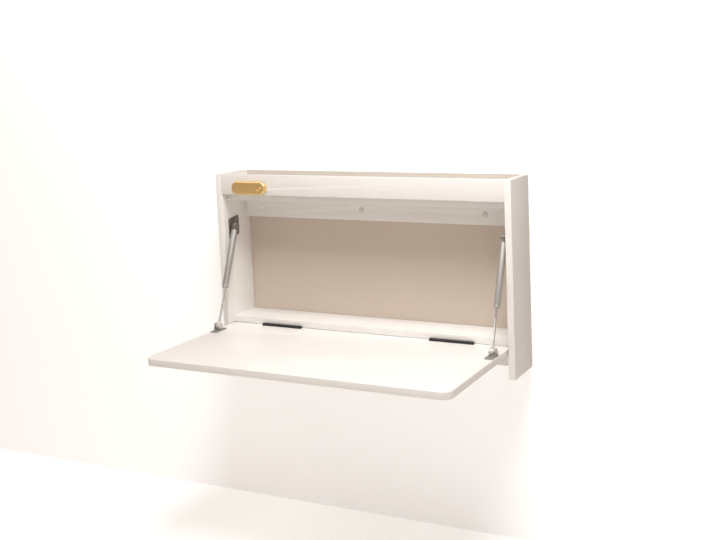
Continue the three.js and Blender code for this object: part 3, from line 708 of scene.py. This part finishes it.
# glow is seen by the camera alone; a plane is clear from behind, and solid is its share for light
def roomPlane(name, matrix, tone, glow=0.0, solid=1.0):
    work = bmesh.new()
    bmesh.ops.create_grid(work, x_segments=1, y_segments=1, size=1, matrix=matrix)
    mesh = bpy.data.meshes.new(name)
    work.to_mesh(mesh)
    work.free()
    plane = bpy.data.objects.new(name, mesh)
    scene.collection.objects.link(plane)
    material, tree, shader = newMaterial(name + "Paint")
    point = objectPoint(tree)
    coat = placeGroup(tree, coatGroup, point, Patch=paintLook["patch"], Peel=paintLook["peel"])
    deeper = tuple(c * paintLook["deeper"] for c in tone[:3]) + (1,)
    feed(tree, between(tree, coat["Tone"], deeper, tone), shader.inputs["Base Color"])
    shader.inputs["Roughness"].default_value = paintLook["rough"]
    shader.inputs["Emission Color"].default_value = tone
    path = tree.nodes.new("ShaderNodeLightPath")
    toCamera = path.outputs["Is Camera Ray"]
    feed(tree, calc(tree, "MULTIPLY", toCamera, glow), shader.inputs["Emission Strength"])
    clear = tree.nodes.new("ShaderNodeBsdfTransparent")
    mix = tree.nodes.new("ShaderNodeMixShader")
    facing = tree.nodes.new("ShaderNodeNewGeometry")
    seen = calc(tree, "MAXIMUM", toCamera, solid)
    shown = calc(tree, "SUBTRACT", seen, facing.outputs["Backfacing"], clamp=True)
    end = next(n for n in tree.nodes if n.type == "OUTPUT_MATERIAL")
    tree.links.new(shown, mix.inputs[0])
    tree.links.new(clear.outputs[0], mix.inputs[1])
    tree.links.new(shader.outputs[0], mix.inputs[2])
    tree.links.new(mix.outputs[0], end.inputs[0])
    mesh.materials.append(material)


# where a square of side 2 stands upright, stretched to width and height
def uprightPlace(gap, middle, width, height):
    upright = Matrix.Translation((0, gap, middle)) @ Matrix.Rotation(math.pi / 2, 4, "X")
    return upright @ Matrix.Diagonal((width / 2, height / 2, 1, 1))


def buildRoom(look):
    reach = look["reach"]
    floorPlace = Matrix.Translation(look["floorPlace"]) @ Matrix.Diagonal((reach, reach, 1, 1))
    roomPlane("floor", floorPlace, look["floorTone"], look["floorGlow"])
    wallPlace = uprightPlace(look["wallGap"], 0, 2 * reach, 2 * reach)
    roomPlane("wall", wallPlace, look["wallTone"], look["wallGlow"], solid=0.0)
    # each patch's darker tone paints the shade inside its opening
    for name, (foot, top, tone) in look["shadePatches"].items():
        place = uprightPlace(look["patchGap"], (foot + top) / 2, look["patchWidth"], top - foot)
        roomPlane(name, place, tone, solid=look["patchSolid"])


buildRoom(roomLook)
print("room built")

lampLooks = {
    "windowLamp": {
        "place": (0.58, -0.95, 1.8), "aim": (0.5, -0.2, 0.0), "size": 1.0, "power": 46.0,
        "tone": (1.0, 1.0, 1.0),
    },
    "topLamp": {
        "place": (-1.3, -0.5, 1.5), "aim": (-0.2, -0.1, 0.0), "size": 0.9, "power": 5.0,
        "tone": (1.0, 0.97, 0.92),
    },
    "fillLamp": {
        "place": (2.0, -2.4, 0.5), "aim": (0, -0.1, -0.15), "size": 2.4, "power": 2.5,
        "tone": (1.0, 0.95, 0.9),
    },
}


def buildLamp(name, look):
    data = bpy.data.lights.new(name, "AREA")
    data.shape = "DISK"
    data.size = look["size"]
    data.energy = look["power"]
    data.color = look["tone"]
    lamp = bpy.data.objects.new(name, data)
    lamp.location = look["place"]
    beam = Vector(look["aim"]) - Vector(look["place"])
    lamp.rotation_euler = beam.to_track_quat("-Z", "Y").to_euler()
    scene.collection.objects.link(lamp)


for name, look in lampLooks.items():
    buildLamp(name, look)

# the sky that the camera sees, and the warmer one that lights the room
skyLook = {
    "seen": (1.0, 0.995, 0.985, 1), "seenStrength": 1.0,
    "light": (1.0, 0.84, 0.72, 1), "lightStrength": 0.42,
}


def buildSky(look):
    world = bpy.data.worlds.new("studio")
    world.use_nodes = True
    tree = world.node_tree
    tree.nodes.clear()
    path = tree.nodes.new("ShaderNodeLightPath")
    mix = tree.nodes.new("ShaderNodeMixShader")
    end = tree.nodes.new("ShaderNodeOutputWorld")
    tree.links.new(path.outputs["Is Camera Ray"], mix.inputs[0])
    for socket, tone in ((1, "light"), (2, "seen")):
        glow = put(tree, "ShaderNodeBackground", Color=look[tone], Strength=look[tone + "Strength"])
        tree.links.new(glow.outputs[0], mix.inputs[socket])
    tree.links.new(mix.outputs[0], end.inputs[0])
    scene.world = world
    scene.view_settings.view_transform = "Standard"


buildSky(skyLook)
print("lights set")
